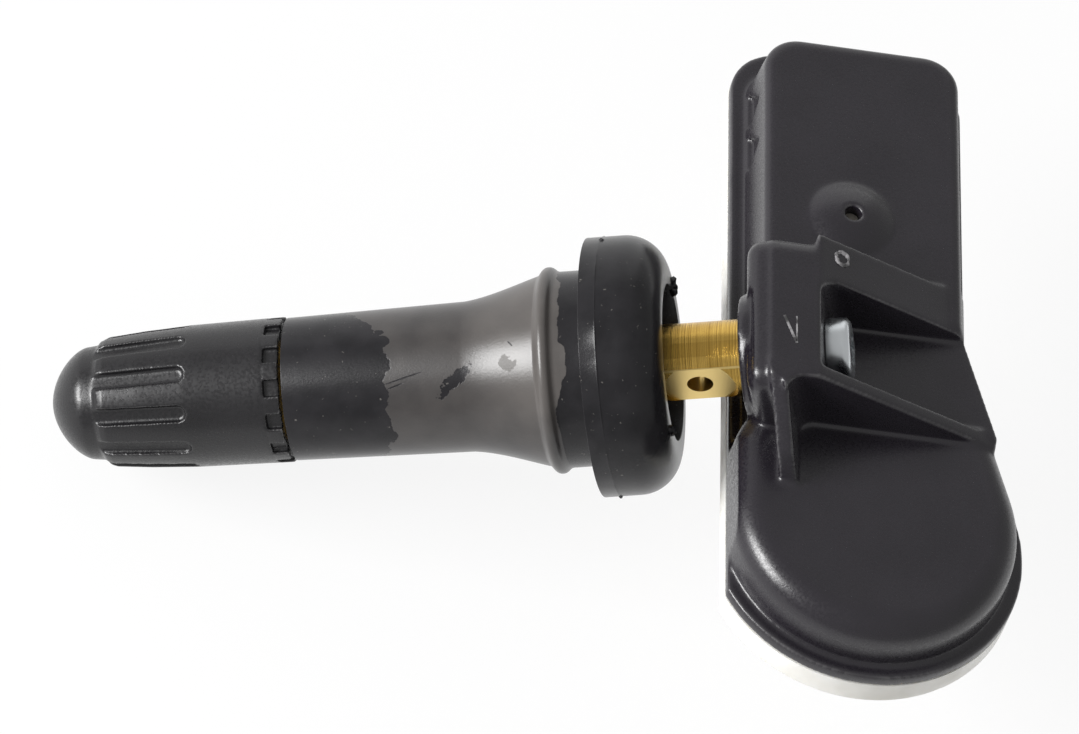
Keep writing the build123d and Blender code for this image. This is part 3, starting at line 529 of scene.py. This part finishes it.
# Screw: a short pan-head machine screw of bright plated steel with a six-lobe drive, put in from the
# pocket between the ribs to draw the brass stub into the housing's boss.
HEAD_FACE = -17.75
HEAD_T = 1.9
HEAD_R = 2.5
HEAD_ROUND = 0.6
UNDER_HEAD_ROUND = 0.15
SCREW_R = 1.5
SCREW_END = -11.0
DRIVE_R = 1.35
DRIVE_LOBE_R = 0.375
DRIVE_DEPTH = 1.1
SCREW_CREASE = radians(35)
screw_bm = turned([
    (SCREW_END, 0.0), (SCREW_END, SCREW_R - 0.3), (SCREW_END - 0.3, SCREW_R), (HEAD_FACE, SCREW_R),
    (HEAD_FACE, HEAD_R), (HEAD_FACE - HEAD_T, HEAD_R), (HEAD_FACE - HEAD_T, 0.0),
])
rim = [
    edge for edge in screw_bm.edges
    if all(abs(vert.co.z - HEAD_FACE + HEAD_T) < 0.001 for vert in edge.verts)
    and edge.calc_face_angle(0.0) > 1
]
bmesh.ops.bevel(
    screw_bm, geom=rim, offset=HEAD_ROUND, offset_type="OFFSET", segments=8,
    profile=0.5, affect="EDGES", material=-1,
)
under_rim = [
    edge for edge in screw_bm.edges
    if all(abs(vert.co.z - HEAD_FACE) < 0.001 for vert in edge.verts)
    and all(vert.co.xy.length > HEAD_R - 0.01 for vert in edge.verts)
]
bmesh.ops.bevel(
    screw_bm, geom=under_rim, offset=UNDER_HEAD_ROUND, offset_type="OFFSET", segments=4,
    profile=0.5, affect="EDGES", material=-1,
)
screw = on_valve(screw_bm, "six_lobe_screw")
drive_tools = []
for index in range(7):
    lobe_bm = bmesh.new()
    turn = index * pi / 3
    out = 0.0 if index == 6 else DRIVE_R - DRIVE_LOBE_R
    radius = DRIVE_R - DRIVE_LOBE_R if index == 6 else DRIVE_LOBE_R
    bmesh.ops.create_cone(
        lobe_bm, cap_ends=True, segments=48, radius1=radius, radius2=radius, depth=2 * DRIVE_DEPTH,
        matrix=Matrix.Translation((out * cos(turn), out * sin(turn), HEAD_FACE - HEAD_T)),
    )
    drive_tools.append(on_valve(lobe_bm, "drive_lobe"))
cut(screw, drive_tools)
screw_finish = mottled_finish(
    "bright_plated_steel", (0.62, 0.65, 0.67, 1.0), (0.70, 0.73, 0.75, 1.0), 1.0, 0.22, 4.0
)
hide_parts("sensor_screw")
settle(screw, screw_finish, "sensor", SCREW_CREASE)

# Rubber body: moulded round the stem in one piece, with the sealing flange, the neck that the wheel
# grips, the snap-in ridge, the flare and the sleeve. A thin flash runs round the flange's mould joint,
# and an aged, greyish film lies on the flare and half the sleeve, peeled in places.
FLANGE_R = 10.0
FLANGE_REAR = -5.9
RECESS_R = 6.0
NECK_R = 7.5
NECK_END = 2.2
RIDGE_R = 7.9
RIDGE_AT = 3.1
FLARE_FOOT = 4.2
FLARE_END = 9.75
SLEEVE_R = 5.475
RIM_R = 9.92
FLASH_AT = -1.3
RUBBER_CREASE = radians(50)
RUBBER_DARK = (0.0092, 0.0088, 0.0102, 1.0)
RUBBER_GREY = (0.0160, 0.0152, 0.0172, 1.0)
FILM_TONE = (0.028, 0.0252, 0.0250, 1.0)
FILM_PALE = (0.086, 0.078, 0.073, 1.0)
DAB_TONE = (0.10, 0.095, 0.088, 1.0)
FILM_START = 2.3
FILM_END = 15.35
PEELED_SPOTS = (
    (10.2, 52.0, 5.75, 140.0, 1.6, 0.46, 0.5), (15.9, 98.0, 5.65, 20.0, 0.34, 0.24, 0.5),
    (14.0, 57.5, 5.65, 165.0, 1.5, 0.06, 0.3), (14.75, 51.5, 5.65, 162.0, 0.7, 0.06, 0.2),
    (5.55, 74.0, 6.75, 50.0, 0.3, 0.07, 0.4),
)
DAB_SPOT = (5.9, 62.0, 6.75, 20.0, 0.6, 0.5, 0.6)
TORN_BITS = (
    (-1.40, 131.0, 9.85, 0.22), (-1.30, -30.0, 9.85, 0.20), (-5.85, 172.0, 6.9, 0.34),
    (-6.00, 173.0, 6.4, 0.36), (-6.05, 171.0, 5.9, 0.3), (-5.15, 6.0, 8.1, 0.3),
    (-5.38, 8.0, 7.8, 0.45), (-5.62, 9.0, 7.2, 0.5), (-5.75, 5.0, 6.7, 0.45), (-5.55, 2.0, 7.3, 0.3),
)
BIT_TEAR = 0.5


def curve(start, first_pull, last_pull, end):
    """Points of a profile along a smooth curve between two ends."""
    ends = [Vector((*point, 0.0)) for point in (start, first_pull, last_pull, end)]
    return [tuple(point.xy) for point in interpolate_bezier(*ends, 17)]


rubber_bm = turned([
    (SLEEVE_END, SHANK_R), (SLEEVE_END, SLEEVE_R),
    *curve((FLARE_END, 5.75), (7.9, 5.95), (6.0, 6.65), (FLARE_FOOT, 7.2)),
    *curve((3.95, 7.27), (3.65, 7.34), (3.6, RIDGE_R), (RIDGE_AT, RIDGE_R)),
    *curve((RIDGE_AT - 0.02, RIDGE_R), (2.65, RIDGE_R), (2.65, NECK_R), (NECK_END, NECK_R)),
    (0.0, NECK_R), (0.0, RIM_R),
    (FLASH_AT + 0.14, RIM_R), (FLASH_AT, FLANGE_R), (FLASH_AT - 0.06, RIM_R),
    *curve((-2.8, RIM_R), (-4.5, RIM_R), (FLANGE_REAR, 8.58), (FLANGE_REAR, 6.9)),
    (FLANGE_REAR, RECESS_R), (RECESS_FLOOR, RECESS_R), (RECESS_FLOOR, SHANK_R), (SLEEVE_END, SHANK_R),
])
round_rims(rubber_bm, 0.28, 4, radians(50))
for vert in rubber_bm.verts:
    out = vert.co.xy.length
    if abs(vert.co.z - FLASH_AT) < 0.2 and out > RIM_R + 0.001:
        ragged = 0.5 + noise.noise(vert.co * 0.8) + 0.6 * noise.noise(vert.co * 4.0)
        vert.co.xy *= 1 - (out - RIM_R) * (1 - min(max(ragged, 0.0), 1.0)) / out
for reach, turn, radius, size in TORN_BITS:
    bit = bmesh.ops.create_icosphere(
        rubber_bm, subdivisions=3, radius=size,
        matrix=Matrix.Translation((radius * cos(radians(turn)), radius * sin(radians(turn)), reach)),
    )
    for vert in bit["verts"]:
        vert.co += BIT_TEAR * size * noise.noise_vector(vert.co * TEAR_SCALE)
rubber = on_valve(rubber_bm, "rubber_valve_body")

rubber_finish, tree, shader, place = new_finish("aged_valve_rubber")
reach = distance_along(tree, place, ALONG)
rise = distance_along(tree, place, RISE)
front = distance_along(tree, place, ACROSS)


def peeled(reach_at, turn, radius, along, half_length, half_width, ragged):
    """Share by which one spot of film has come away, an uneven patch along a slanting line."""
    centre_rise = radius * sin(radians(turn))
    centre_front = radius * cos(radians(turn))
    run = sums(tree, "SUBTRACT", reach, reach_at)
    up = sums(tree, "SUBTRACT", rise, centre_rise)
    over = sums(tree, "SUBTRACT", front, centre_front)
    side = sums(
        tree, "ADD", sums(tree, "MULTIPLY", up, cos(radians(turn))),
        sums(tree, "MULTIPLY", over, -sin(radians(turn))),
    )
    lengthwise = sums(
        tree, "ADD", sums(tree, "MULTIPLY", run, cos(radians(along))),
        sums(tree, "MULTIPLY", side, sin(radians(along))),
    )
    crosswise = sums(
        tree, "SUBTRACT", sums(tree, "MULTIPLY", side, cos(radians(along))),
        sums(tree, "MULTIPLY", run, sin(radians(along))),
    )
    spot = add_node(tree, "ShaderNodeCombineXYZ", {
        "X": sums(tree, "DIVIDE", lengthwise, half_length),
        "Y": sums(tree, "DIVIDE", crosswise, half_width),
    }).outputs["Vector"]
    away = add_node(tree, "ShaderNodeVectorMath", {0: spot}, operation="LENGTH").outputs["Value"]
    fray = spread(tree, speckle(tree, place, 0.45, 5.0), 0.2, 0.8, -ragged, ragged)
    torn = sums(tree, "ADD", away, fray)
    near_side = sums(tree, "GREATER_THAN", over, -radius)
    return sums(tree, "MULTIPLY", spread(tree, torn, 1.05, 0.95), near_side)


behind = sums(tree, "MAXIMUM", sums(tree, "MULTIPLY", front, -0.9), 0.0)
below = sums(tree, "MAXIMUM", sums(tree, "MULTIPLY", sums(tree, "SUBTRACT", 1.0, rise), 0.4), 0.0)
zigzag = spread(tree, speckle(tree, place, 1.3, 6.0), 0.25, 0.75, -0.42, 0.42)
film_end = sums(tree, "ADD", sums(tree, "ADD", sums(tree, "ADD", behind, below), zigzag), FILM_END)
film = spread(tree, sums(tree, "SUBTRACT", film_end, reach), -0.03, 0.06)
lap = sums(
    tree, "ADD", spread(tree, front, -4.2, -3.4, 0.0, 0.45), spread(tree, front, 2.3, 2.8, 0.0, 0.5),
)
lap = sums(tree, "SUBTRACT", lap, spread(tree, front, 4.0, 6.6, 0.0, 1.0))
lap = sums(tree, "ADD", lap, spread(tree, speckle(tree, place, 0.9, 4.0), 0.3, 0.7, -0.1, 0.1))
lap = sums(tree, "MULTIPLY", lap, spread(tree, rise, 2.0, 3.0))
film_start = sums(tree, "SUBTRACT", FILM_START, lap)
past_start = spread(tree, sums(tree, "SUBTRACT", reach, film_start), -0.04, 0.05)
film = sums(tree, "MULTIPLY", film, past_start)
for spot in PEELED_SPOTS:
    film = sums(tree, "MULTIPLY", film, sums(tree, "SUBTRACT", 1.0, peeled(*spot)))
dust = spread(tree, speckle(tree, place, 0.35, 2.0), 0.70, 0.76)
blotches = spread(tree, speckle(tree, place, 2.2, 5.0), 0.3, 0.7)
rubber_tone = tint(tree, blotches, RUBBER_DARK, RUBBER_GREY)
clouds = spread(tree, speckle(tree, place, 3.5, 5.0), 0.3, 0.7, 0.0, 0.35)
# Painted light: the film is drawn paler towards the flare and on its upper side, where the light falls;
# the clouds are its own uneven tone.
painted_flare_light = sums(
    tree, "MULTIPLY", spread(tree, reach, 12.0, 5.0, 0.0, 0.65), spread(tree, rise, 0.0, 5.0),
)
clouds_and_painted_light = sums(tree, "ADD", clouds, painted_flare_light)
film_tone = tint(tree, clouds_and_painted_light, FILM_TONE, FILM_PALE)
dab = sums(tree, "MULTIPLY", peeled(*DAB_SPOT), 0.6)
film_tone = tint(tree, dab, film_tone, DAB_TONE)
bare_tone = tint(tree, dust, rubber_tone, DAB_TONE)
tree.links.new(tint(tree, film, bare_tone, film_tone), shader.inputs["Base Color"])
tree.links.new(spread(tree, film, 0.0, 1.0, 0.27, 0.32), shader.inputs["Roughness"])
gloss = spread(tree, film, 0.0, 1.0, 0.27, 0.55)
shine = sums(tree, "MULTIPLY", gloss, sums(tree, "SUBTRACT", 1.0, dab))
tree.links.new(shine, shader.inputs["Specular IOR Level"])
shader.inputs["Sheen Weight"].default_value = 0.05
shader.inputs["Sheen Roughness"].default_value = 0.35
film_step = sums(tree, "MULTIPLY", film, 0.6)
raise_bumps(tree, shader, sums(tree, "ADD", film_step, speckle(tree, place, 0.18)), 0.008)
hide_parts("rubber_body")
settle(rubber, rubber_finish, "sensor", RUBBER_CREASE)

# Cap: moulded in dark plastic with eleven finger flutes, a round nose and a castellated rim, and
# screwed down on the stem's thread. A rubber washer inside it seals on the stem's tip.
CAP_RIM = 23.75
CAP_RIM_R = 5.575
CAP_BORE_R = 3.93
CAP_BORE_END = 37.82
CAP_CORE_R = 2.3
CAP_ROOF = 40.35
CASTLE_COUNT = 13
CASTLE_TURN = 1.5
CASTLE_SIZE = (2.0, 1.3, 2.32)
CASTLE_OUT = 0.55
FLUTE_COUNT = 11
FLUTE_TURN = 8.6
FLUTE_W = 1.3
FLUTE_L = 24.0
FLUTE_DEPTH = 2.4
FLUTE_START = 31.0
FLUTE_FLOOR = 5.05
FLUTE_FLOOR_END = 4.42
CAP_STEP = 38.7
FLUTE_SLOPE = (FLUTE_FLOOR_END - FLUTE_FLOOR) / (CAP_STEP - FLUTE_START)
NOSE_R = 4.34
NOSE_END = 42.25
CAP_VOXEL = 0.1 * MM
CAP_SMOOTHING = 3
CAP_SHARPEST = 0.42
CAP_KEPT_SHARE = 0.45
CAP_DARK = (0.0074, 0.0070, 0.0080, 1.0)
CAP_TONE = (0.0112, 0.0106, 0.0120, 1.0)
CAP_WORN_AND_HIGHLIGHT = (0.120, 0.117, 0.118, 1.0)
cap_bm = turned([
    (CAP_ROOF, 0.0), (CAP_ROOF, CAP_CORE_R), (CAP_BORE_END, CAP_CORE_R), (CAP_BORE_END, CAP_BORE_R),
    (CAP_RIM, CAP_BORE_R), (CAP_RIM, CAP_RIM_R), (24.9, 5.56), (24.98, 5.50), (25.06, 5.555),
    (31.1, 5.45), (34.8, 5.24), (37.55, 4.99), (38.0, 4.81), (38.35, 4.42),
    *curve((39.1, NOSE_R), (40.2, NOSE_R), (42.2, 2.3), (NOSE_END, 0.0)),
])
cap = on_valve(cap_bm, "fluted_valve_cap")
cap_tools = []
for index in range(FLUTE_COUNT):
    flute_bm = bmesh.new()
    bmesh.ops.create_cube(flute_bm, size=1.0, matrix=Matrix.Diagonal((FLUTE_DEPTH, FLUTE_W, FLUTE_L, 1)))
    ends = [edge for edge in flute_bm.edges if abs(edge.verts[0].co.x - edge.verts[1].co.x) > 1]
    bmesh.ops.bevel(
        flute_bm, geom=ends, offset=0.48 * FLUTE_W, offset_type="OFFSET", segments=10,
        profile=0.5, affect="EDGES", material=-1,
    )
    floor_edges = [edge for edge in flute_bm.edges if all(vert.co.x < -1.1 for vert in edge.verts)]
    bmesh.ops.bevel(
        flute_bm, geom=floor_edges, offset=0.3, offset_type="OFFSET", segments=5,
        profile=0.5, affect="EDGES", material=-1,
    )
    bmesh.ops.transform(flute_bm, verts=flute_bm.verts, matrix=(
        Matrix.Rotation(radians(FLUTE_TURN + index * 360 / FLUTE_COUNT), 4, "Z")
        @ Matrix.Translation((FLUTE_FLOOR, 0, FLUTE_START))
        @ Matrix.Rotation(FLUTE_SLOPE, 4, "Y")
        @ Matrix.Translation((FLUTE_DEPTH / 2, 0, FLUTE_L / 2))
    ))
    cap_tools.append(on_valve(flute_bm, "flute_tool"))
for index in range(CASTLE_COUNT):
    castle_bm = bmesh.new()
    bmesh.ops.create_cube(castle_bm, size=1.0, matrix=(
        Matrix.Rotation(radians(CASTLE_TURN + index * 360 / CASTLE_COUNT), 4, "Z")
        @ Matrix.Translation((CAP_RIM_R + CASTLE_OUT, 0, CAP_RIM))
        @ Matrix.Diagonal((*CASTLE_SIZE, 1))
    ))
    cap_tools.append(on_valve(castle_bm, "castle_tool"))
cut(cap, cap_tools)
soften(cap, CAP_VOXEL, CAP_SMOOTHING)
mark_edge_sharpness(cap, CAP_SHARPEST)
thin_out(cap, CAP_KEPT_SHARE)
# The cap's paler edges and flute rims are partly wear and partly a painted highlight.
cap_finish = moulded_finish("satin_cap_moulding", CAP_DARK, CAP_TONE, CAP_WORN_AND_HIGHLIGHT, 0.22, 0.29, 0.5, 0.04)
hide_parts("valve_cap")
settle(cap, cap_finish, "cap", HOUSING_CREASE)
washer_finish = mottled_finish(
    "washer_rubber_finish", (0.02, 0.02, 0.021, 1.0), (0.04, 0.04, 0.042, 1.0), 0.0, 0.7, 0.5
)
dress("cap_seal", washer_finish)

# Studio: a plain white floor, low enough for the cap to be screwed off, a white backdrop behind, a room
# that is white to the camera and half as bright to the object, and one broad light from the left. The
# camera is a long lens that looks down on the sensor's top from the valve's side.
FLOOR_SIZE = 6.0
FLOOR_WHITE = (0.9, 0.9, 0.9, 1.0)
FLOOR_GAP = 2.4 * MM
FLOOR_SHADE = 0.87
FLOOR_FRONT = -0.1
BACKDROP_BEHIND = 1.2
BACKDROP_H = 1.1
BACKDROP_W = 3.0
BACKDROP_RIGHT = 0.6
ROOM_LIGHT = 0.5
LAMP_PLACE = (-0.53, -0.09, 0.26)
LAMP_W = 0.32
LAMP_H = 0.24
LAMP_WATTS = 5.0
LENS = 240.17
CAMERA_PLACE = (-86.195, -312.290, 443.014)
CAMERA_TURN = (34.4539, -11.2580, 1.1801)
floor_bm = bmesh.new()
bmesh.ops.create_grid(
    floor_bm, x_segments=1, y_segments=1, size=FLOOR_SIZE / 2,
    matrix=Matrix.Translation((0, FLOOR_FRONT + FLOOR_SIZE / 2, cad_box[0][2] - FLOOR_GAP)),
)
floor = shown(floor_bm, "floor")
backdrop_bm = bmesh.new()
bmesh.ops.create_grid(backdrop_bm, x_segments=1, y_segments=1, size=0.5, matrix=(
    Matrix.Translation((BACKDROP_RIGHT - BACKDROP_W / 2, BACKDROP_BEHIND, BACKDROP_H / 2))
    @ Matrix.Rotation(pi / 2, 4, "X") @ Matrix.Diagonal((BACKDROP_W, BACKDROP_H, 1, 1))
))
backdrop = shown(backdrop_bm, "backdrop")
floor_paint = bpy.data.materials.new("white_floor")
floor_paint.use_nodes = True
tree = floor_paint.node_tree
shader = tree.nodes["Principled BSDF"]
shader.inputs["Base Color"].default_value = FLOOR_WHITE
shader.inputs["Roughness"].default_value = 0.9
seen = add_node(tree, "ShaderNodeLightPath", {})
glow = add_node(tree, "ShaderNodeEmission", {"Color": (1, 1, 1, 1), "Strength": 1.0})
direct = sums(tree, "MULTIPLY", seen.outputs["Is Camera Ray"], FLOOR_SHADE)
direct = sums(tree, "MAXIMUM", direct, seen.outputs["Is Glossy Ray"])
direct = sums(tree, "MAXIMUM", direct, seen.outputs["Is Transmission Ray"])
paint = add_node(
    tree, "ShaderNodeMixShader", {0: direct, 1: shader.outputs["BSDF"], 2: glow.outputs["Emission"]},
)
tree.links.new(paint.outputs["Shader"], tree.nodes["Material Output"].inputs["Surface"])
for staged in (floor, backdrop):
    staged.data.materials.append(floor_paint)

world = bpy.data.worlds.new("white_room")
world.use_nodes = True
tree = world.node_tree
seen = add_node(tree, "ShaderNodeLightPath", {})
tree.nodes["Background"].inputs["Color"].default_value = (1, 1, 1, 1)
room = spread(tree, seen.outputs["Is Camera Ray"], 0.0, 1.0, ROOM_LIGHT, 1.0)
tree.links.new(room, tree.nodes["Background"].inputs["Strength"])
bpy.context.scene.world = world

lamp = bpy.data.lights.new("left_light", "AREA")
lamp.shape = "RECTANGLE"
lamp.size = LAMP_W
lamp.size_y = LAMP_H
lamp.energy = LAMP_WATTS
left_light = bpy.data.objects.new("left_light", lamp)
left_light.location = LAMP_PLACE
left_light.rotation_euler = (-Vector(LAMP_PLACE)).to_track_quat("-Z", "Y").to_euler()
bpy.context.scene.collection.objects.link(left_light)

camera_data = bpy.data.cameras.new("camera")
camera_data.lens = LENS
camera_data.sensor_width = 36.0
camera_data.clip_end = 10.0
camera = bpy.data.objects.new("camera", camera_data)
camera.location = Vector(CAMERA_PLACE) * MM
camera.rotation_euler = [radians(turn) for turn in CAMERA_TURN]
bpy.context.scene.collection.objects.link(camera)
bpy.context.scene.camera = camera
bpy.context.scene.view_settings.view_transform = "Standard"
